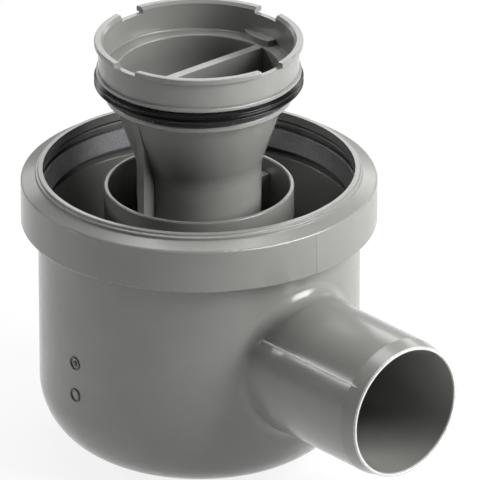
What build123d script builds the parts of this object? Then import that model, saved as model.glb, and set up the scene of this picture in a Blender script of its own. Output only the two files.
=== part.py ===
from build123d import *
import math
import os

# Corner floor drain: a moulded pot with a side outlet, a trap cup and a lift-out trap insert.
# Millimetres. Origin at the centre of the flat base, +Z up the socket axis, +X along the outlet.

# Socket mouth, its seal chamber and the collar around them
socket_bore = 110.4
chamber_depth = 4.8
collar_height = 16.0
collar_wall = 3.0
collar_edge = 0.8
collar_root = 1.0
shoulder_rise = 1.8
lip_width = 2.6
lip_height = 2.1
lip_step_width = 0.9
lip_step_drop = 1.0
lip_edge = 0.35
lip_depth = 1.1

# Pot below the socket
ledge_step = 1.2
pot_wall = 3.0
pot_floor = 3.0
pot_corner = 25.0

# Side outlet: its underside above the base, the wall left under the collar, and a low stop at its root
outlet_diameter = 50.0
outlet_wall = 2.2
outlet_lift = 23.4
outlet_headroom = 11.1
outlet_length = 52.3
outlet_chamfer_length = 6.0
outlet_chamfer_depth = 1.2
outlet_root = 5.0
stop_rise = 0.3
stop_land = 0.8
stop_run = 0.8

# Trap cup inside the pot and the ribs that carry the insert
cup_diameter = 67.2
cup_wall = 1.6
cup_height = 97.9
cup_edge = 0.6
cup_root = 2.0
rib_count = 4
rib_thickness = 2.4
rib_reach = 4.5
rib_drop = 7.9
rib_lead = 1.0

# Trap insert: dip tube, funnel and seal carrier
tube_diameter = 44.0
insert_wall = 1.9
tube_dip = 42.0
tube_rise = 17.0
funnel_diameter = 60.6
funnel_rise = 24.8
funnel_blend = 16.0
carrier_wall = 2.8
carrier_foot = 2.2
carrier_edge = 0.6
groove_depth = 1.8
groove_width = 6.9

# Trap insert: ledge, bead and bayonet ring
ledge_width = 5.0
ledge_thickness = 1.7
bead_width = 0.8
bead_edge = 0.5
ring_depth = 11.0
flange_width = 1.4
flange_thickness = 2.0
flange_edge = 0.5
flange_chamfer = 1.0
notch_count = 4
notch_width = 10.3
notch_depth = 2.2
notch_turn = 4.0
cam_count = 2
cam_turn = 94.0
cam_height = 2.2
cam_width = 4.4
cam_radius = 15.0
cam_cut_turn = 9.4

# Trap insert: web across the funnel, and the ears of the outer fins
web_thickness = 3.4
web_depth = 34.0
ear_height = 2.6

# Rubber seals
seal_back = 2.6
seal_crown = 2.4
seal_crown_gap = 0.2
seal_neck = 1.2
seal_lip_reach = 2.4
seal_lip_thickness = 2.0
seal_lip_drop = 6.8
seal_edge = 0.5
seal_root = 0.3
ring_seal_squeeze = 0.3
ring_seal_pitch = 2.1
ring_seal_valley = 1.3

# Clearances, the overrun of cutters past a face and the tolerance that tells edges apart
seal_clearance = 0.15
insert_clearance = 0.5
overrun = 1.0
edge_tolerance = 0.01

# Radii and levels that follow from the sizes above
socket_r = socket_bore / 2
chamber_r = socket_r + chamber_depth
collar_r = chamber_r + collar_wall
pot_inner_r = socket_r - ledge_step
pot_r = pot_inner_r + pot_wall
outlet_r = outlet_diameter / 2
outlet_bore_r = outlet_r - outlet_wall
outlet_height = outlet_lift + outlet_r
stop_r = outlet_r + stop_rise
outlet_reach = pot_r + outlet_length
collar_base = outlet_height + outlet_r + outlet_headroom
collar_top = collar_base + collar_height
shoulder_top = collar_top + shoulder_rise
mouth_level = shoulder_top + lip_height
ledge_level = collar_base + collar_wall
chamber_ceiling = collar_top - collar_wall
lip_under = shoulder_top - lip_depth
cup_r = cup_diameter / 2
cup_inner_r = cup_r - cup_wall
rib_inner_r = cup_inner_r - rib_reach
rib_top = cup_height - rib_drop
fin_r = rib_inner_r - insert_clearance
tube_r = tube_diameter / 2
tube_inner_r = tube_r - insert_wall
funnel_r = funnel_diameter / 2
funnel_inner_r = funnel_r - insert_wall
groove_r = funnel_inner_r + carrier_wall
carrier_r = groove_r + groove_depth
ring_inner_r = funnel_inner_r + ledge_width
ring_r = ring_inner_r + insert_wall
bead_r = ring_r + bead_width
flange_r = ring_r + flange_width
tube_end = rib_top - tube_dip
funnel_start = rib_top + tube_rise
funnel_end = funnel_start + funnel_rise
groove_low = funnel_end + carrier_foot
groove_high = groove_low + groove_width
ledge_top = groove_high + ledge_thickness
ring_top = ledge_top + ring_depth
flange_under = ring_top - flange_thickness


def turned(*corners):
    """Solid of revolution about Z from corners given as (radius, height, rounding)."""
    places = [(radius, height) for radius, height, _ in corners]
    roundings = [rounding for _, _, rounding in corners]
    outline = FilletPolyline(*places, radius=roundings, close=True)
    return revolve(Plane.XZ * make_face(outline), Axis.Z)


def around(shape, count, first_turn=0.0):
    """Copies of a shape spaced evenly about Z."""
    return [Rot(0, 0, first_turn + 360.0 * index / count) * shape for index in range(count)]


def upright_block(x_size, y_size, low, high, x_centre=0.0):
    """Block between two levels, its middle on the X axis."""
    return Pos(x_centre, 0, (low + high) / 2) * Box(x_size, y_size, high - low)


def pot_form():
    """Solid outer form of the pot, its socket collar and the stepped lip of the mouth."""
    lip_r = socket_r + lip_width
    crest_r = lip_r - lip_step_width
    step_level = mouth_level - lip_step_drop
    return turned(
        (0, 0, 0),
        (pot_r, 0, pot_corner),
        (pot_r, collar_base, collar_root),
        (collar_r, collar_base, collar_edge),
        (collar_r, collar_top, collar_edge),
        (lip_r, shoulder_top, lip_edge),
        (lip_r, step_level, lip_edge),
        (crest_r, step_level, lip_edge),
        (crest_r, mouth_level, lip_edge),
        (0, mouth_level, 0),
    )


def pot_cavity():
    """Space inside the pot, with the seal chamber behind the mouth."""
    return turned(
        (0, pot_floor, 0),
        (pot_inner_r, pot_floor, pot_corner - pot_wall),
        (pot_inner_r, ledge_level, lip_edge),
        (chamber_r, ledge_level, collar_edge),
        (chamber_r, chamber_ceiling, collar_edge),
        (socket_r, lip_under, lip_edge),
        (socket_r, mouth_level, lip_edge),
        (socket_r + lip_edge, mouth_level + overrun, 0),
        (0, mouth_level + overrun, 0),
    )


def outlet_form():
    """Solid outer form of the outlet spigot, with a low stop at its root and a chamfered end."""
    stop_end = pot_r + outlet_root + stop_land
    chamfer_start = outlet_reach - outlet_chamfer_length
    tip_r = outlet_r - outlet_chamfer_depth
    profile = Polyline(
        (0, 0),
        (stop_r, 0),
        (stop_r, stop_end),
        (outlet_r, stop_end + stop_run),
        (outlet_r, chamfer_start),
        (tip_r, outlet_reach),
        (0, outlet_reach),
        close=True,
    )
    spigot = revolve(Plane.XZ * make_face(profile), Axis.Z)
    return Pos(0, 0, outlet_height) * Rot(0, 90, 0) * spigot


def outlet_bore():
    """Bore of the outlet, from the space beside the cup out through the mouth."""
    start = (cup_r + pot_inner_r) / 2
    length = outlet_reach + overrun - start
    return Pos(start + length / 2, 0, outlet_height) * Rot(0, 90, 0) * Cylinder(outlet_bore_r, length)


def drain_body():
    """Pot, socket collar and outlet as one moulding."""
    form = pot_form() + outlet_form()
    beyond_wall = [edge for edge in form.edges() if is_outlet_root(edge)]
    form = fillet(beyond_wall, outlet_root)
    return form - pot_cavity() - outlet_bore()


def is_outlet_root(edge):
    """True for the curve where the outlet leaves the pot's wall."""
    middle = edge @ 0.5
    from_axis = math.hypot(middle.Y, middle.Z - outlet_height)
    return abs(from_axis - stop_r) < edge_tolerance and 0 < middle.X < pot_r + edge_tolerance


def cup_wall_form():
    """Turned wall of the cup, with a foot that reaches below the pot's floor."""
    foot_r = cup_r + 2 * cup_root
    buried = pot_floor / 2
    return turned(
        (cup_inner_r, buried, 0),
        (foot_r, buried, 0),
        (foot_r, pot_floor, 0),
        (cup_r, pot_floor, cup_root),
        (cup_r, cup_height, cup_edge),
        (cup_inner_r, cup_height, cup_edge),
    )


def cup_ribs():
    """Ribs on the cup's inner wall; the insert's ears stand on two of them."""
    rooted_reach = rib_reach + cup_wall / 2
    middle = rib_inner_r + rooted_reach / 2
    rib = upright_block(rooted_reach, rib_thickness, pot_floor / 2, rib_top, x_centre=middle)
    inner_edge = rib.edges().filter_by(Axis.Y).group_by(Axis.Z)[-1].sort_by(Axis.X)[0]
    return around(chamfer(inner_edge, rib_lead), rib_count)


def trap_cup():
    """Cup that holds the water of the trap, its foot cut to the pot's floor."""
    return (cup_wall_form() + cup_ribs()) & pot_cavity()


def insert_wall_form():
    """Turned wall of the insert: bayonet ring, seal carrier, funnel and dip tube."""
    return turned(
        (tube_inner_r, tube_end, 0),
        (tube_r, tube_end, 0),
        (tube_r, funnel_start, funnel_blend),
        (funnel_r, funnel_end, 0),
        (carrier_r, funnel_end, carrier_edge),
        (carrier_r, groove_low, carrier_edge),
        (groove_r, groove_low, 0),
        (groove_r, groove_high, 0),
        (bead_r, groove_high, bead_edge),
        (bead_r, ledge_top, bead_edge),
        (ring_r, ledge_top, 0),
        (ring_r, flange_under, flange_edge),
        (flange_r, flange_under, flange_edge),
        (flange_r, ring_top, flange_edge),
        (ring_inner_r + flange_chamfer, ring_top, 0),
        (ring_inner_r, ring_top - flange_chamfer, 0),
        (ring_inner_r, ledge_top, flange_edge),
        (funnel_inner_r, ledge_top, bead_edge),
        (funnel_inner_r, funnel_end, funnel_blend),
        (tube_inner_r, funnel_start, funnel_blend),
    )


def insert_hollow():
    """Space inside the funnel and dip tube."""
    return turned(
        (0, tube_end - overrun, 0),
        (tube_inner_r, tube_end - overrun, 0),
        (tube_inner_r, funnel_start, funnel_blend),
        (funnel_inner_r, funnel_end, funnel_blend),
        (funnel_inner_r, ledge_top + overrun, 0),
        (0, ledge_top + overrun, 0),
    )


def insert_web(hollow):
    """Web across the funnel, level with the ledge."""
    plate = upright_block(web_thickness, 2 * funnel_r, ledge_top - web_depth, ledge_top)
    return plate & hollow


def insert_fins(hollow):
    """Fins outside the tube in the web's plane, with the ears that stand on the ribs."""
    fins = upright_block(web_thickness, 2 * fin_r, tube_end, funnel_end)
    ear_span = 2 * (cup_inner_r - insert_clearance)
    ears = upright_block(web_thickness, ear_span, rib_top, rib_top + ear_height)
    return fins + ears - hollow


def ring_notches():
    """Cutters for the bayonet notches through the flange and the top of the ring."""
    width = 2 * (flange_r - ring_inner_r + overrun)
    cutter = upright_block(width, notch_width, ring_top - notch_depth, ring_top + overrun, x_centre=flange_r)
    return around(cutter, notch_count, notch_turn)


def ring_cams():
    """Half-moon cams on the ledge, each cut off square at one end."""
    centre = ring_inner_r - cam_width + cam_radius
    level = ledge_top + cam_height / 2
    disc = Pos(centre, 0, level) * Cylinder(cam_radius, cam_height)
    inside = Pos(0, 0, level) * Cylinder(ring_inner_r + insert_wall / 2, cam_height)
    cut = Rot(0, 0, -cam_cut_turn) * Pos(centre, -cam_radius, level) * Box(
        2 * cam_radius, 2 * cam_radius, 2 * cam_height
    )
    return around(disc & inside - cut, cam_count, cam_turn)


def trap_insert():
    """Lift-out insert that dips into the cup, as the one moulding it is."""
    hollow = insert_hollow()
    insert = insert_wall_form() + insert_fins(hollow) + insert_web(hollow)
    return insert + ring_cams() - ring_notches()


def ceiling_at(radius):
    """Level of the seal chamber's sloping ceiling at a radius."""
    slope = (lip_under - chamber_ceiling) / (chamber_r - socket_r)
    return chamber_ceiling + slope * (chamber_r - radius)


def socket_seal():
    """Lip seal in the socket's chamber: a back, a crown under the mouth and an inward lip."""
    back_r = chamber_r - seal_clearance
    front_r = back_r - seal_back
    crown_r = socket_r + seal_crown_gap
    lip_r = socket_r - seal_lip_reach
    base = ledge_level
    crown_top = ceiling_at(crown_r) - seal_clearance
    crown_low = crown_top - seal_crown
    lip_root = crown_low - seal_neck
    lip_end = lip_root - seal_lip_drop
    corner = collar_edge + seal_clearance
    return turned(
        (back_r, base, corner),
        (back_r, ceiling_at(back_r) - seal_clearance, corner),
        (crown_r, crown_top, seal_edge),
        (crown_r, crown_low, seal_edge),
        (front_r, crown_low, seal_root),
        (front_r, lip_root, seal_root),
        (crown_r, lip_root, seal_edge),
        (lip_r, lip_end, seal_edge),
        (lip_r + seal_lip_thickness, lip_end, seal_edge),
        (front_r, lip_root - seal_lip_thickness, seal_root),
        (front_r, base, seal_edge),
    )


def insert_seal():
    """Ribbed rubber ring in the insert's groove, skirted at its lower edge."""
    inner_r = groove_r + seal_clearance
    outer_r = flange_r + ring_seal_squeeze
    valley_r = outer_r - ring_seal_valley
    low = groove_low
    high = groove_high - seal_clearance
    first_rib = high - ring_seal_pitch / 2
    second_rib = first_rib - ring_seal_pitch
    skirt_top = high - 2 * ring_seal_pitch
    return turned(
        (inner_r, low, 0),
        (carrier_r, low, seal_root),
        (valley_r, skirt_top, seal_root),
        (outer_r, second_rib, seal_root),
        (valley_r, (first_rib + second_rib) / 2, seal_root),
        (outer_r, first_rib, seal_root),
        (valley_r, high, seal_root),
        (inner_r, high, 0),
    )


nodes = {
    "drain_body": drain_body,
    "trap_cup": trap_cup,
    "socket_seal": socket_seal,
    "trap_insert": trap_insert,
    "insert_seal": insert_seal,
}

os.makedirs("parts", exist_ok=True)
for name, make in nodes.items():
    export_step(make(), f"parts/{name}.step")
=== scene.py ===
import logging
import math
from dataclasses import dataclass, field
from enum import Enum
from typing import Sequence

import bpy
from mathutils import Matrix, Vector


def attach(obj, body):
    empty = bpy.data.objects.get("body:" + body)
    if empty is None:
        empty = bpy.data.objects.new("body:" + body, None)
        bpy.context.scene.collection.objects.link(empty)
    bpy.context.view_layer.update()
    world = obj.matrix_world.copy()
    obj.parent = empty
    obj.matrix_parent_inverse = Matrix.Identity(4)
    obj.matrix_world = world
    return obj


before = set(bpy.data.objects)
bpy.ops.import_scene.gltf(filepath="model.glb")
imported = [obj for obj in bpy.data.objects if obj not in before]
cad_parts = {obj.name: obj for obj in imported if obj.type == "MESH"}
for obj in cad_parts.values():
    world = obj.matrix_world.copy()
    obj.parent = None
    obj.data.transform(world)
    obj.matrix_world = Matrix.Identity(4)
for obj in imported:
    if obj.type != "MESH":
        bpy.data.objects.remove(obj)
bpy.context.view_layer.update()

log = logging.getLogger("corner_floor_drain")

Colour = tuple[float, float, float, float]
Value = bpy.types.NodeSocket | Sequence[float] | float
Path = tuple[tuple[float, float], ...]

BODY = "root"
MM = 0.001
QUARTER_TURN = math.pi / 2
HALF_TURN = math.pi
FULL_TURN = math.tau
# Azimuth of the photograph, in degrees.
VIEW_AZIMUTH = 49.2
# Points closer than this are merged.
WELD = 0.001 * MM
# Edges that turn less than this are shaded smooth.
SMOOTH_UNDER = math.radians(35.0)
# The normal of a level face rises or falls by more than this.
LEVEL_NORMAL = 0.9
WHITE: Colour = (1.0, 1.0, 1.0, 1.0)


class Slot(Enum):
    """Material slots, named in the log beside each piece."""

    PLASTIC = "grey_plastic"
    RUBBER = "black_rubber"


class Lamp(Enum):
    """Lamps of the studio."""

    KEY = "key_softbox"
    BACK = "back_strip"
    OVERHEAD = "overhead_box"
    SIDE = "side_strip"


class Facing(Enum):
    """Ways that a level face can look."""

    UP = 1.0
    DOWN = -1.0


class Pick(Enum):
    """What edit mode picks."""

    EDGES = "EDGE"
    FACES = "FACE"


class Output(Enum):
    """Output nodes of a material and of the world."""

    MATERIAL = "ShaderNodeOutputMaterial"
    WORLD = "ShaderNodeOutputWorld"


class Maths(Enum):
    """Ways that the nodes combine two values."""

    SUM = "ADD"
    DIFFERENCE = "SUBTRACT"
    PRODUCT = "MULTIPLY"
    LARGER = "MAXIMUM"


class Ray(Enum):
    """Kinds of light path that the studio tells apart."""

    CAMERA = "Is Camera Ray"
    MIRRORED = "Is Glossy Ray"
    SCATTERED = "Is Diffuse Ray"


def deselect_all() -> None:
    """Leave edit mode and deselect every object."""
    if bpy.context.mode != "OBJECT":
        bpy.ops.object.mode_set(mode="OBJECT")
    bpy.ops.object.select_all(action="DESELECT")


def select_only(things: Sequence[bpy.types.Object]) -> None:
    """Select some objects and nothing else, and make the first the active one.

    Args:
        things: Objects to select.
    """
    deselect_all()
    for thing in things:
        thing.select_set(True)
    bpy.context.view_layer.objects.active = things[0]


def apply_place() -> None:
    """Put the active object's place, turn and scale into its mesh."""
    bpy.ops.object.transform_apply(location=True, rotation=True, scale=True)


def copy_of(thing: bpy.types.Object) -> bpy.types.Object:
    """Copy an object, with a mesh of its own.

    Args:
        thing: Object to copy.

    Returns:
        The copy.
    """
    select_only([thing])
    bpy.ops.object.duplicate(linked=False)
    return bpy.context.active_object


def join(things: Sequence[bpy.types.Object]) -> None:
    """Join objects into the first of them, which becomes the active one.

    Args:
        things: Objects to join.
    """
    bpy.context.view_layer.update()
    select_only(things)
    bpy.ops.object.join()


def edit_all(pick: Pick) -> None:
    """Open the active object in edit mode with all of it selected.

    Args:
        pick: What edit mode picks.
    """
    bpy.ops.object.mode_set(mode="EDIT")
    bpy.ops.mesh.select_mode(type=pick.value)
    bpy.ops.mesh.select_all(action="SELECT")


def edit_level_faces(facing: Facing) -> None:
    """Open the active object in edit mode with only its top or bottom faces selected.

    Args:
        facing: Way that the faces look.
    """
    edit_all(Pick.FACES)
    bpy.ops.mesh.select_all(action="DESELECT")
    bpy.ops.object.mode_set(mode="OBJECT")
    for face in bpy.context.active_object.data.polygons:
        face.select = face.normal.z * facing.value > LEVEL_NORMAL
    bpy.ops.object.mode_set(mode="EDIT")


def close_edit() -> None:
    """Merge doubled points, turn every face outwards and leave edit mode."""
    bpy.ops.mesh.select_all(action="SELECT")
    bpy.ops.mesh.remove_doubles(threshold=WELD)
    bpy.ops.mesh.normals_make_consistent(inside=False)
    bpy.ops.object.mode_set(mode="OBJECT")


def extrude(way: Sequence[float]) -> None:
    """Extrude what is selected in edit mode.

    Args:
        way: Vector from the old place to the new one.
    """
    bpy.ops.mesh.extrude_region_move(TRANSFORM_OT_translate={"value": way})


def extrude_along(path: Sequence[Vector]) -> None:
    """Extrude what is selected in edit mode from a path's first point to its last."""
    for here, there in zip(path, path[1:]):
        extrude(there - here)


def linear(red: int, green: int, blue: int) -> Colour:
    """Turn a display colour into the linear colour that shaders take.

    Args:
        red: Red, 0 to 255.
        green: Green, 0 to 255.
        blue: Blue, 0 to 255.

    Returns:
        Linear red, green and blue, and an alpha of 1.
    """
    def channel(level: int) -> float:
        """One channel, by the display standard's curve."""
        share = level / 255.0
        return share / 12.92 if share <= 0.04045 else ((share + 0.055) / 1.055) ** 2.4

    return channel(red), channel(green), channel(blue), 1.0


class NodeSheet:
    """Lays out the nodes of a material or a world."""

    def __init__(self, owner: bpy.types.Material | bpy.types.World, output: Output) -> None:
        """Clear the owner's nodes and start with its output.

        Args:
            owner: Material or world that the nodes belong to.
            output: Its output node.
        """
        owner.use_nodes = True
        self.tree = owner.node_tree
        self.tree.nodes.clear()
        self.output = self.add(output.value)
        self.coordinates = self.add("ShaderNodeTexCoord")

    def add(self, kind: str, **settings: object) -> bpy.types.Node:
        """Add a node and set its properties.

        Args:
            kind: Blender's name for the node type.
            **settings: Properties of the node.

        Returns:
            The new node.
        """
        node = self.tree.nodes.new(kind)
        for key, value in settings.items():
            setattr(node, key, value)
        return node

    def feed(self, value: Value, target: bpy.types.NodeSocket) -> None:
        """Link an output to an input, or set the input to a constant.

        Args:
            value: The output or the constant.
            target: The input.
        """
        if isinstance(value, bpy.types.NodeSocket):
            self.tree.links.new(value, target)
        else:
            target.default_value = value

    def surface(self, shader: bpy.types.Node) -> None:
        """Make a shader the result."""
        self.feed(shader.outputs[0], self.output.inputs["Surface"])

    def ray(self, kind: Ray) -> bpy.types.NodeSocket:
        """Give 1 on one kind of light path and 0 on the others."""
        return self.add("ShaderNodeLightPath").outputs[kind.value]

    def combine(self, maths: Maths, first: Value, second: Value) -> bpy.types.NodeSocket:
        """Combine two values.

        Args:
            maths: How they are combined.
            first: First value.
            second: Second value.

        Returns:
            The result.
        """
        node = self.add("ShaderNodeMath", operation=maths.value)
        self.feed(first, node.inputs[0])
        self.feed(second, node.inputs[1])
        return node.outputs["Value"]

    def noise(
        self,
        scale: float,
        detail: float,
        roughness: float = 0.5,
        stretch: Sequence[float] = (1.0, 1.0, 1.0),
    ) -> bpy.types.NodeSocket:
        """Add noise on the piece's own coordinates.

        Args:
            scale: Noise cells per metre.
            detail: Octaves.
            roughness: Weight of the finer octaves.
            stretch: Scale of the coordinates along X, Y and Z.

        Returns:
            The noise's grey value.
        """
        mapping = self.add("ShaderNodeMapping")
        self.feed(stretch, mapping.inputs["Scale"])
        self.feed(self.coordinates.outputs["Object"], mapping.inputs["Vector"])
        texture = self.add("ShaderNodeTexNoise")
        self.feed(scale, texture.inputs["Scale"])
        self.feed(detail, texture.inputs["Detail"])
        self.feed(roughness, texture.inputs["Roughness"])
        self.feed(mapping.outputs["Vector"], texture.inputs["Vector"])
        return texture.outputs["Fac"]

    def spread(
        self, value: Value, low: float, high: float, to_low: float = 0.0, to_high: float = 1.0
    ) -> bpy.types.NodeSocket:
        """Map a value from one range to another, held at the ends.

        Args:
            value: Value to map.
            low: Value that becomes to_low.
            high: Value that becomes to_high.
            to_low: Result at low.
            to_high: Result at high.

        Returns:
            The mapped value.
        """
        node = self.add("ShaderNodeMapRange")
        self.feed(value, node.inputs["Value"])
        self.feed(low, node.inputs["From Min"])
        self.feed(high, node.inputs["From Max"])
        self.feed(to_low, node.inputs["To Min"])
        self.feed(to_high, node.inputs["To Max"])
        return node.outputs["Result"]

    def blend(self, share: Value, first: Value, second: Value) -> bpy.types.NodeSocket:
        """Blend a colour into another by a share.

        Args:
            share: 0 for the first colour, 1 for the second.
            first: First colour.
            second: Second colour.

        Returns:
            The blended colour.
        """
        node = self.add("ShaderNodeMix", data_type="RGBA")
        self.feed(share, node.inputs["Factor"])
        self.feed(first, node.inputs["A"])
        self.feed(second, node.inputs["B"])
        return node.outputs["Result"]

    def bump(
        self,
        height: bpy.types.NodeSocket,
        depth: float,
        strength: float,
        under: bpy.types.NodeSocket | None = None,
    ) -> bpy.types.NodeSocket:
        """Add a bump from a height value.

        Args:
            height: Height, 0 to 1.
            depth: Depth in metres of a height of 1.
            strength: Share of the bump that shows.
            under: Normal from a bump below this one.

        Returns:
            The bumped normal.
        """
        node = self.add("ShaderNodeBump")
        self.feed(height, node.inputs["Height"])
        self.feed(depth, node.inputs["Distance"])
        self.feed(strength, node.inputs["Strength"])
        if under is not None:
            self.feed(under, node.inputs["Normal"])
        return node.outputs["Normal"]


class SkinSheet(NodeSheet):
    """Nodes of a solid finish."""

    def __init__(self, name: str) -> None:
        """Start a material.

        Args:
            name: Name of the material.
        """
        self.material = bpy.data.materials.new(name)
        super().__init__(self.material, Output.MATERIAL)

    def paint(
        self,
        tone: bpy.types.NodeSocket,
        rough: bpy.types.NodeSocket,
        normal: bpy.types.NodeSocket,
        refraction: float,
    ) -> bpy.types.Material:
        """Give the finish its shader.

        Args:
            tone: Colour.
            rough: Roughness.
            normal: Bumped normal.
            refraction: Index of refraction.

        Returns:
            The finished material.
        """
        shader = self.add("ShaderNodeBsdfPrincipled")
        self.feed(tone, shader.inputs["Base Color"])
        self.feed(rough, shader.inputs["Roughness"])
        self.feed(normal, shader.inputs["Normal"])
        self.feed(refraction, shader.inputs["IOR"])
        self.surface(shader)
        return self.material


@dataclass(frozen=True)
class MouldedPlastic:
    """Grey moulded polypropylene with a satin skin."""

    name: str = "grey_polypropylene"
    colour: Colour = linear(122, 123, 119)
    pale: Colour = linear(128, 128, 125)
    scuff: Colour = linear(150, 150, 147)
    rough_low: float = 0.18
    rough_high: float = 0.24
    refraction: float = 1.49
    cloud_scale: float = 38.0
    wear_scale: float = 55.0
    peel_scale: float = 420.0
    peel_depth: float = 0.06 * MM
    grain_scale: float = 2600.0
    grain_depth: float = 0.02 * MM
    grain_share: float = 0.22
    rub_scale: float = 900.0
    rub_stretch: tuple[float, float, float] = (1.0, 1.0, 0.06)
    rub_share: float = 0.3

    def material(self) -> bpy.types.Material:
        """Build the finish.

        Returns:
            The node material.
        """
        sheet = SkinSheet(self.name)
        clouds = sheet.noise(self.cloud_scale, detail=3.0)
        grains = sheet.noise(self.grain_scale, detail=2.0)
        rubs = sheet.noise(self.rub_scale, detail=4.0, roughness=0.65, stretch=self.rub_stretch)
        wear = sheet.noise(self.wear_scale, detail=2.0)
        peel = sheet.noise(self.peel_scale, detail=2.0)
        cloudy = sheet.spread(clouds, low=0.35, high=0.7)
        grainy = sheet.spread(grains, low=0.55, high=0.8, to_high=self.grain_share)
        rubbed = sheet.spread(rubs, low=0.66, high=0.78, to_high=self.rub_share)
        worn = sheet.spread(wear, low=0.5, high=0.68)
        tone = sheet.blend(cloudy, self.colour, self.pale)
        tone = sheet.blend(grainy, tone, self.scuff)
        tone = sheet.blend(sheet.combine(Maths.PRODUCT, rubbed, worn), tone, self.scuff)
        rough = sheet.spread(wear, low=0.35, high=0.7, to_low=self.rough_low, to_high=self.rough_high)
        skin = sheet.bump(peel, self.peel_depth, strength=0.25)
        skin = sheet.bump(grains, self.grain_depth, strength=0.3, under=skin)
        return sheet.paint(tone, rough, skin, self.refraction)


@dataclass(frozen=True)
class HighlightPaintedPlastic(MouldedPlastic):
    """The same plastic, paler: a painted highlight, worn by the spigot's seams and mouth rim."""

    name: str = "highlight_painted_polypropylene"
    colour: Colour = linear(192, 192, 189)
    pale: Colour = linear(198, 198, 195)
    scuff: Colour = linear(208, 208, 205)


@dataclass(frozen=True)
class ShadePaintedPlastic(MouldedPlastic):
    """The same plastic, darker: painted shade, worn by the mould marks."""

    name: str = "shade_painted_polypropylene"
    colour: Colour = linear(66, 66, 64)
    pale: Colour = linear(76, 76, 74)
    scuff: Colour = linear(96, 96, 94)


@dataclass(frozen=True)
class SealRubber:
    """Black moulded rubber with a dusty bloom."""

    name: str = "black_seal_rubber"
    colour: Colour = linear(13, 13, 14)
    bloom: Colour = linear(30, 30, 33)
    rough_low: float = 0.2
    rough_high: float = 0.34
    refraction: float = 1.4
    dust_scale: float = 70.0
    speck_scale: float = 1900.0
    speck_depth: float = 0.03 * MM

    def material(self) -> bpy.types.Material:
        """Build the finish.

        Returns:
            The node material.
        """
        sheet = SkinSheet(self.name)
        dust = sheet.noise(self.dust_scale, detail=4.0, roughness=0.6)
        specks = sheet.noise(self.speck_scale, detail=3.0, roughness=0.6)
        dusty = sheet.spread(dust, low=0.42, high=0.72, to_low=0.1, to_high=0.8)
        specked = sheet.spread(specks, low=0.4, high=0.75, to_low=0.15)
        share = sheet.combine(Maths.PRODUCT, dusty, specked)
        tone = sheet.blend(share, self.colour, self.bloom)
        rough = sheet.spread(dust, low=0.35, high=0.7, to_low=self.rough_low, to_high=self.rough_high)
        skin = sheet.bump(specks, self.speck_depth, strength=0.4)
        return sheet.paint(tone, rough, skin, self.refraction)


@dataclass(frozen=True)
class GreasedRubber(SealRubber):
    """The same rubber, greyer under its grease."""

    name: str = "greased_seal_rubber"
    colour: Colour = linear(92, 92, 94)
    bloom: Colour = linear(156, 156, 159)
    rough_low: float = 0.3
    rough_high: float = 0.44


class Piece:
    """A mesh piece that is modelled with Blender's operators and rides on the drain."""

    def __init__(self, name: str) -> None:
        """Take the active object as the piece.

        Args:
            name: Name of the piece.
        """
        self.thing = bpy.context.active_object
        self.thing.name = name
        self.thing.data.name = name

    def soften(self, width: float, segments: int = 2) -> None:
        """Round the piece's sharp edges.

        Args:
            width: Width of the rounding.
            segments: Faces across the rounding.
        """
        bevel = self.thing.modifiers.new("soft_edges", "BEVEL")
        bevel.width = width
        bevel.segments = segments
        bevel.limit_method = "ANGLE"
        bpy.ops.object.modifier_apply(modifier=bevel.name)

    def thicken(self, wall: float) -> None:
        """Give a surface a wall on its inner side.

        Args:
            wall: Thickness of the wall.
        """
        shell = self.thing.modifiers.new("shell", "SOLIDIFY")
        shell.thickness = wall
        shell.offset = -1.0
        bpy.ops.object.modifier_apply(modifier=shell.name)

    def settle(self, finish: bpy.types.Material) -> bpy.types.Object:
        """Put the piece's place into its mesh, dress it and let it ride.

        Args:
            finish: Material of the piece.

        Returns:
            The finished object.
        """
        select_only([self.thing])
        apply_place()
        bpy.ops.object.shade_smooth_by_angle(angle=SMOOTH_UNDER)
        self.thing.data.materials.clear()
        self.thing.data.materials.append(finish)
        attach(self.thing, BODY)
        log.info("piece %s, %d faces", self.thing.name, len(self.thing.data.polygons))
        return self.thing


@dataclass
class CadPiece:
    """A piece carried over from model.glb, with its own finish."""

    node: str
    slot: Slot

    def dress(self, finish: bpy.types.Material) -> bpy.types.Object:
        """Give the piece its finish.

        Args:
            finish: Material of the piece.

        Returns:
            The piece's object.
        """
        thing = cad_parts[self.node]
        for place in thing.material_slots:
            place.material = finish
        log.info("node %s, slot %s, dressed in %s", self.node, self.slot.value, finish.name)
        return thing


@dataclass(frozen=True)
class BodyFinishes:
    """Finishes of the drain's body: as moulded, paler as a painted highlight, and darker as painted
    shade.
    """

    plain: bpy.types.Material
    cut: bpy.types.Material
    painted_shade: bpy.types.Material


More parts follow.
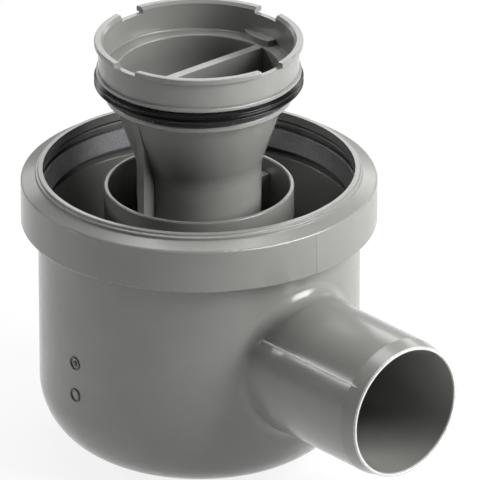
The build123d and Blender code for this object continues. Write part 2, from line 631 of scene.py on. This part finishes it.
@dataclass
class DrainBody(CadPiece):
    """Pot with its collar and spigot, and the fine marks that its mould leaves on it.

    A path holds pairs of a place along the spigot and the radius there. Each mark has a level, and
    one of them has a dot. The shares of a mark's ring and gap are of its radius. The other shares
    are of the ridge's height or the mark's rise.
    """

    node: str = "drain_body"
    slot: Slot = Slot.PLASTIC
    pot_radius: float = 57.0 * MM
    pot_corner: float = 25.0 * MM
    collar_radius: float = 63.0 * MM
    collar_low: float = 85.5 * MM
    collar_high: float = 99.7 * MM
    collar_under: float = 83.4 * MM
    spigot_level: float = 48.4 * MM
    seam_turn: float = math.radians(53.5)
    seam_width: float = 1.0 * MM
    seam_depth: float = 0.3 * MM
    seam_sunk: float = 0.19 * MM
    seam_sides: int = 32
    seam_path: Path = (
        (57.4 * MM, 25.3 * MM),
        (63.0 * MM, 25.3 * MM),
        (68.4 * MM, 25.0 * MM),
        (103.3 * MM, 25.0 * MM),
        (107.6 * MM, 23.95 * MM),
    )
    rim_place: float = 108.86 * MM
    rim_radius: float = 23.3 * MM
    rim_round: float = 0.6 * MM
    rim_steps: int = 160
    rim_sides: int = 20
    sleeve_wall: float = 0.5 * MM
    sleeve_sides: int = 192
    sleeve_path: Path = (
        (61.9 * MM, 25.29 * MM),
        (62.4 * MM, 25.31 * MM),
        (63.2 * MM, 25.305 * MM),
        (64.2 * MM, 25.26 * MM),
        (65.4 * MM, 25.17 * MM),
        (66.6 * MM, 25.08 * MM),
        (67.6 * MM, 25.02 * MM),
        (68.6 * MM, 24.99 * MM),
    )
    ridge_width: float = 1.0 * MM
    ridge_height: float = 0.03 * MM
    ridge_sunk: float = 0.2 * MM
    ridge_soft_share: float = 0.7
    ridge_turn: float = math.radians(82.0)
    ridge_steps: int = 24
    marks: tuple[tuple[float, bool], ...] = ((45.0 * MM, True), (32.6 * MM, False))
    mark_turn: float = math.radians(-91.0)
    mark_radius: float = 2.6 * MM
    mark_rise: float = 0.42 * MM
    mark_sunk: float = 0.3 * MM
    mark_ring_share: float = 0.26
    mark_gap_share: float = 0.36
    mark_hollow_share: float = 1.1
    mark_soft_share: float = 0.3
    mark_sides: int = 64

    def wall_ridge(self, radius: float, low: float, high: float) -> bpy.types.Object:
        """Model an upright stretch of the mould's parting line, on the outlet's side.

        Args:
            radius: Radius of the wall under it.
            low: Level of its lower end.
            high: Level of its upper end.

        Returns:
            The ridge.
        """
        deselect_all()
        depth = self.ridge_height + self.ridge_sunk
        bpy.ops.mesh.primitive_cube_add(
            size=1.0,
            location=(radius + self.ridge_height - depth / 2, 0.0, (low + high) / 2),
            scale=(depth, self.ridge_width, high - low),
        )
        apply_place()
        return bpy.context.active_object

    def pot_ridge(self) -> bpy.types.Object:
        """Model the parting line down the pot's far wall and round its lower edge.

        Returns:
            The ridge.
        """
        ridge = self.wall_ridge(self.pot_radius, self.pot_corner, self.collar_under)
        edit_level_faces(Facing.DOWN)
        bpy.ops.mesh.spin(
            steps=self.ridge_steps,
            angle=self.ridge_turn,
            center=(self.pot_radius - self.pot_corner, 0.0, self.pot_corner),
            axis=(0.0, 1.0, 0.0),
        )
        close_edit()
        ridge.rotation_euler.z = HALF_TURN
        return ridge

    def parting_ridges(self, finish: bpy.types.Material) -> bpy.types.Object:
        """Model the fine ridges that the two halves of the mould leave.

        Args:
            finish: Material of the ridges.

        Returns:
            The finished piece.
        """
        near = self.wall_ridge(self.collar_radius, self.collar_low, self.collar_high)
        far = copy_of(near)
        far.rotation_euler.z = HALF_TURN
        join([near, far, self.pot_ridge()])
        piece = Piece("parting_ridges")
        piece.soften(self.ridge_height * self.ridge_soft_share)
        return piece.settle(finish)

    def spigot_seam(self) -> bpy.types.Object:
        """Model the flat, rounded seam that the mould's slide leaves, along the spigot's top.

        Returns:
            The seam, with the spigot's axis as its X axis.
        """
        deselect_all()
        path = [Vector((along, 0.0, radius - self.seam_sunk)) for along, radius in self.seam_path]
        bpy.ops.mesh.primitive_circle_add(
            vertices=self.seam_sides,
            radius=self.seam_width / 2,
            fill_type="NGON",
            location=path[0],
            rotation=(0.0, QUARTER_TURN, 0.0),
        )
        apply_place()
        edit_all(Pick.FACES)
        flatness = 2 * self.seam_depth / self.seam_width
        bpy.ops.transform.resize(value=(1.0, 1.0, flatness), center_override=path[0])
        extrude_along(path)
        close_edit()
        return bpy.context.active_object

    def spigot_seams(self, finish: bpy.types.Material) -> bpy.types.Object:
        """Model the pair of seams along the spigot.

        Args:
            finish: Material of the seams.

        Returns:
            The finished piece.
        """
        near = self.spigot_seam()
        far = copy_of(near)
        for seam, turn in ((near, self.seam_turn), (far, -self.seam_turn)):
            seam.rotation_euler.x = turn
            seam.location.z = self.spigot_level
        join([near, far])
        return Piece("spigot_seams").settle(finish)

    def mouth_rim(self, finish: bpy.types.Material) -> bpy.types.Object:
        """Model the rounded rim at the spigot's mouth.

        Args:
            finish: Material of the rim.

        Returns:
            The finished piece.
        """
        deselect_all()
        bpy.ops.mesh.primitive_circle_add(
            vertices=self.rim_sides,
            radius=self.rim_round,
            fill_type="NOTHING",
            location=(self.rim_place, 0.0, self.spigot_level + self.rim_radius),
            rotation=(QUARTER_TURN, 0.0, 0.0),
        )
        apply_place()
        edit_all(Pick.EDGES)
        bpy.ops.mesh.spin(
            steps=self.rim_steps,
            angle=FULL_TURN,
            center=(self.rim_place, 0.0, self.spigot_level),
            axis=(1.0, 0.0, 0.0),
        )
        close_edit()
        return Piece("mouth_rim").settle(finish)

    def root_sleeve(self, finish: bpy.types.Material) -> bpy.types.Object:
        """Model the soft run-out of the stop at the spigot's root.

        Args:
            finish: Material of the sleeve.

        Returns:
            The finished piece.
        """
        deselect_all()
        start, first_radius = self.sleeve_path[0]
        bpy.ops.mesh.primitive_circle_add(
            vertices=self.sleeve_sides,
            radius=first_radius,
            fill_type="NOTHING",
            location=(start, 0.0, self.spigot_level),
            rotation=(0.0, QUARTER_TURN, 0.0),
        )
        apply_place()
        edit_all(Pick.EDGES)
        for (here, radius), (there, next_radius) in zip(self.sleeve_path, self.sleeve_path[1:]):
            extrude((there - here, 0.0, 0.0))
            share = next_radius / radius
            bpy.ops.transform.resize(
                value=(1.0, share, share), center_override=(there, 0.0, self.spigot_level)
            )
        close_edit()
        piece = Piece("root_sleeve")
        piece.thicken(self.sleeve_wall)
        return piece.settle(finish)

    def mould_mark(self, level: float, with_dot: bool, finish: bpy.types.Material) -> bpy.types.Object:
        """Model a plain round mark that a mould insert leaves on the pot's wall.

        Args:
            level: Level of its middle.
            with_dot: Whether a dot stands in the ring.
            finish: Material of the mark.

        Returns:
            The finished piece.
        """
        deselect_all()
        depth = self.mark_rise + self.mark_sunk
        bpy.ops.mesh.primitive_cylinder_add(
            vertices=self.mark_sides, radius=self.mark_radius, depth=depth
        )
        piece = Piece(f"mould_mark_{round(level / MM)}")
        edit_level_faces(Facing.UP)
        bpy.ops.mesh.inset(thickness=self.mark_radius * self.mark_ring_share)
        extrude((0.0, 0.0, -self.mark_rise * self.mark_hollow_share))
        if with_dot:
            bpy.ops.mesh.inset(thickness=self.mark_radius * self.mark_gap_share)
            extrude((0.0, 0.0, self.mark_rise))
        bpy.ops.object.mode_set(mode="OBJECT")
        piece.soften(self.mark_rise * self.mark_soft_share)
        middle = self.pot_radius + self.mark_rise - depth / 2
        piece.thing.rotation_euler = (0.0, QUARTER_TURN, self.mark_turn)
        piece.thing.location = (
            middle * math.cos(self.mark_turn),
            middle * math.sin(self.mark_turn),
            level,
        )
        return piece.settle(finish)

    def build(self, finishes: BodyFinishes) -> None:
        """Dress the body and add the marks of its mould.

        Args:
            finishes: Finishes of the body.
        """
        self.dress(finishes.plain)
        self.parting_ridges(finishes.plain)
        # The seams and the mouth rim take the paler finish: a painted highlight.
        self.spigot_seams(finishes.cut)
        self.mouth_rim(finishes.cut)
        self.root_sleeve(finishes.plain)
        for level, with_dot in self.marks:
            # The mould marks take the darker finish all over: painted shade.
            self.mould_mark(level, with_dot, finishes.painted_shade)


@dataclass
class TrapCup(CadPiece):
    """Cup inside the pot, with the ribs that carry the insert."""

    node: str = "trap_cup"
    slot: Slot = Slot.PLASTIC


@dataclass
class SocketSeal(CadPiece):
    """Lip seal in the socket."""

    node: str = "socket_seal"
    slot: Slot = Slot.RUBBER


@dataclass
class TrapInsert(CadPiece):
    """Lift-out insert with its funnel and dip tube.

    The path holds pairs of a level and the fin's reach from the axis there.
    """

    node: str = "trap_insert"
    slot: Slot = Slot.PLASTIC
    tip_thickness: float = 3.36 * MM
    tip_depth: float = 1.6 * MM
    tip_path: Path = (
        (112.0 * MM, 26.95 * MM),
        (119.0 * MM, 26.95 * MM),
        (121.0 * MM, 27.25 * MM),
        (124.5 * MM, 28.25 * MM),
        (128.0 * MM, 29.2 * MM),
        (130.5 * MM, 29.9 * MM),
    )

    def fin_tip(self) -> bpy.types.Object:
        """Model the thin end of the near fin, which runs out up the funnel.

        Returns:
            The fin's end.
        """
        deselect_all()
        path = [Vector((0.0, self.tip_depth / 2 - reach, level)) for level, reach in self.tip_path]
        bpy.ops.mesh.primitive_plane_add(size=self.tip_thickness, location=path[0])
        apply_place()
        edit_all(Pick.FACES)
        flatness = self.tip_depth / self.tip_thickness
        bpy.ops.transform.resize(value=(1.0, flatness, 1.0), center_override=path[0])
        extrude_along(path)
        close_edit()
        return bpy.context.active_object

    def fin_tips(self, finish: bpy.types.Material) -> bpy.types.Object:
        """Model the ends of both fins.

        Args:
            finish: Material of the fins.

        Returns:
            The finished piece.
        """
        near = self.fin_tip()
        far = copy_of(near)
        far.rotation_euler.z = HALF_TURN
        join([near, far])
        return Piece("fin_tips").settle(finish)

    def build(self, finish: bpy.types.Material) -> None:
        """Dress the insert and add the ends of its fins."""
        self.dress(finish)
        self.fin_tips(finish)


@dataclass
class InsertSeal(CadPiece):
    """Ribbed ring on the insert."""

    node: str = "insert_seal"
    slot: Slot = Slot.RUBBER


@dataclass
class PhotoCamera:
    """Long lens at the photograph's angle.

    Lengths are in metres, but the sensor's is in millimetres and the focal length is in pixels.
    """

    azimuth: float = VIEW_AZIMUTH
    reach: float = 2.639
    height: float = 1.308
    focal_pixels: float = 8224.0
    photo_pixels: float = 480.0
    sensor: float = 36.0
    far_clip: float = 50.0
    aim_right: float = 14.46 * MM
    aim_level: float = 75.7 * MM

    def place(self) -> bpy.types.Object:
        """Add the camera and make it the scene's own.

        Returns:
            The camera.
        """
        turn = math.radians(self.azimuth)
        right = Vector((math.cos(turn), math.sin(turn), 0.0))
        aim = right * self.aim_right + Vector((0.0, 0.0, self.aim_level))
        place = Vector((math.sin(turn) * self.reach, -math.cos(turn) * self.reach, self.height))
        data = bpy.data.cameras.new("photo_camera")
        data.sensor_width = self.sensor
        data.lens = self.focal_pixels * self.sensor / self.photo_pixels
        data.clip_end = self.far_clip
        camera = bpy.data.objects.new("photo_camera", data)
        bpy.context.scene.collection.objects.link(camera)
        camera.location = place
        camera.rotation_euler = (place - aim).to_track_quat("Z", "Y").to_euler()
        bpy.context.scene.camera = camera
        log.info("camera at %s", tuple(round(value, 3) for value in place))
        return camera


@dataclass(frozen=True)
class LampPlan:
    """Place, size and power of an area lamp, seen from the drain.

    The bearing is in degrees to the right of the camera, lengths are in metres, power in watts.
    """

    bearing: float
    elevation: float
    distance: float
    width: float
    height: float
    power: float


@dataclass
class Studio:
    """Pale floor, soft lamps and a white surround."""

    camera_azimuth: float = VIEW_AZIMUTH
    middle: Vector = field(default_factory=lambda: Vector((0.02, 0.0, 0.075)))
    floor_size: float = 12.0
    floor_colour: Colour = (0.92, 0.92, 0.92, 1.0)
    floor_white: float = 0.86
    floor_bright_to: float = 0.3
    floor_dim_from: float = 0.4
    floor_dim: float = 0.5
    sky_low_to: float = 0.3
    sky_high_from: float = 0.5
    sky_low: float = 0.4
    sky_high: float = 0.06
    plans: dict[Lamp, LampPlan] = field(
        default_factory=lambda: {
            Lamp.KEY: LampPlan(
                bearing=71.0, elevation=32.0, distance=0.6, width=0.36, height=0.36, power=6.2
            ),
            Lamp.BACK: LampPlan(
                bearing=180.0, elevation=25.0, distance=1.3, width=2.2, height=0.35, power=6.4
            ),
            Lamp.OVERHEAD: LampPlan(
                bearing=180.0, elevation=78.0, distance=1.0, width=0.6, height=0.6, power=5.6
            ),
            Lamp.SIDE: LampPlan(
                bearing=-98.0, elevation=26.5, distance=1.0, width=0.6, height=0.05, power=2.7
            ),
        }
    )

    def lamp(self, role: Lamp, plan: LampPlan) -> bpy.types.Object:
        """Hang one area lamp.

        Args:
            role: Which lamp it is.
            plan: Its place, size and power.

        Returns:
            The lamp.
        """
        turn = math.radians(self.camera_azimuth + plan.bearing) - QUARTER_TURN
        rise = math.radians(plan.elevation)
        level = math.cos(rise)
        way = Vector((math.cos(turn) * level, math.sin(turn) * level, math.sin(rise)))
        data = bpy.data.lights.new(role.value, "AREA")
        data.shape = "RECTANGLE"
        data.size = plan.width
        data.size_y = plan.height
        data.energy = plan.power
        thing = bpy.data.objects.new(role.value, data)
        bpy.context.scene.collection.objects.link(thing)
        thing.location = self.middle + way * plan.distance
        thing.rotation_euler = way.to_track_quat("Z", "Y").to_euler()
        log.info("lamp %s", role.value)
        return thing

    def floor_finish(self) -> bpy.types.Material:
        """Build the floor's finish: near white to the camera, and dimmer far out in reflections.

        Returns:
            The node material.
        """
        material = bpy.data.materials.new("pale_floor")
        sheet = NodeSheet(material, Output.MATERIAL)
        matte = sheet.add("ShaderNodeBsdfDiffuse")
        sheet.feed(self.floor_colour, matte.inputs["Color"])
        glow = sheet.add("ShaderNodeEmission")
        sheet.feed(WHITE, glow.inputs["Color"])
        away = sheet.add("ShaderNodeVectorMath", operation="LENGTH")
        sheet.feed(sheet.coordinates.outputs["Object"], away.inputs[0])
        fade = sheet.spread(
            away.outputs["Value"], self.floor_bright_to, self.floor_dim_from, 1.0, self.floor_dim
        )
        mirrored = sheet.combine(Maths.PRODUCT, sheet.ray(Ray.MIRRORED), fade)
        seen = sheet.combine(Maths.PRODUCT, sheet.ray(Ray.CAMERA), self.floor_white)
        mix = sheet.add("ShaderNodeMixShader")
        sheet.feed(sheet.combine(Maths.SUM, seen, mirrored), mix.inputs["Fac"])
        sheet.feed(matte.outputs["BSDF"], mix.inputs[1])
        sheet.feed(glow.outputs["Emission"], mix.inputs[2])
        sheet.surface(mix)
        return material

    def floor(self) -> bpy.types.Object:
        """Lay the pale floor, which keeps the drain's shadow.

        Returns:
            The floor.
        """
        deselect_all()
        bpy.ops.mesh.primitive_plane_add(size=self.floor_size)
        thing = bpy.context.active_object
        thing.name = "studio_floor"
        thing.data.materials.append(self.floor_finish())
        return thing

    def surround(self) -> None:
        """Make the world white to the camera, dim in reflections and dark to scattered rays."""
        world = bpy.data.worlds.new("studio_surround")
        bpy.context.scene.world = world
        sheet = NodeSheet(world, Output.WORLD)
        split = sheet.add("ShaderNodeSeparateXYZ")
        sheet.feed(sheet.coordinates.outputs["Generated"], split.inputs["Vector"])
        fade = sheet.spread(
            split.outputs["Z"], self.sky_low_to, self.sky_high_from, self.sky_low, self.sky_high
        )
        seen = sheet.combine(Maths.LARGER, sheet.ray(Ray.CAMERA), fade)
        unscattered = sheet.combine(Maths.DIFFERENCE, 1.0, sheet.ray(Ray.SCATTERED))
        sky = sheet.add("ShaderNodeBackground")
        sheet.feed(WHITE, sky.inputs["Color"])
        sheet.feed(sheet.combine(Maths.PRODUCT, seen, unscattered), sky.inputs["Strength"])
        sheet.surface(sky)

    def build(self) -> None:
        """Set up the floor, the lamps, the surround and the view transform."""
        self.floor()
        for role, plan in self.plans.items():
            self.lamp(role, plan)
        self.surround()
        bpy.context.scene.view_settings.view_transform = "Standard"


def main() -> None:
    """Build the drain's looks, the studio and the camera."""
    logging.basicConfig(level=logging.INFO, format="%(name)s: %(message)s")
    plastic = MouldedPlastic().material()
    # Paler plastic: a painted highlight on the seams and the mouth rim.
    cut = HighlightPaintedPlastic().material()
    # Darker plastic: painted shade on the mould marks.
    painted_shade = ShadePaintedPlastic().material()
    rubber = SealRubber().material()
    greased = GreasedRubber().material()
    DrainBody().build(BodyFinishes(plastic, cut, painted_shade))
    TrapCup().dress(plastic)
    SocketSeal().dress(greased)
    TrapInsert().build(plastic)
    InsertSeal().dress(rubber)
    Studio().build()
    PhotoCamera().place()


if __name__ == "__main__":
    main()
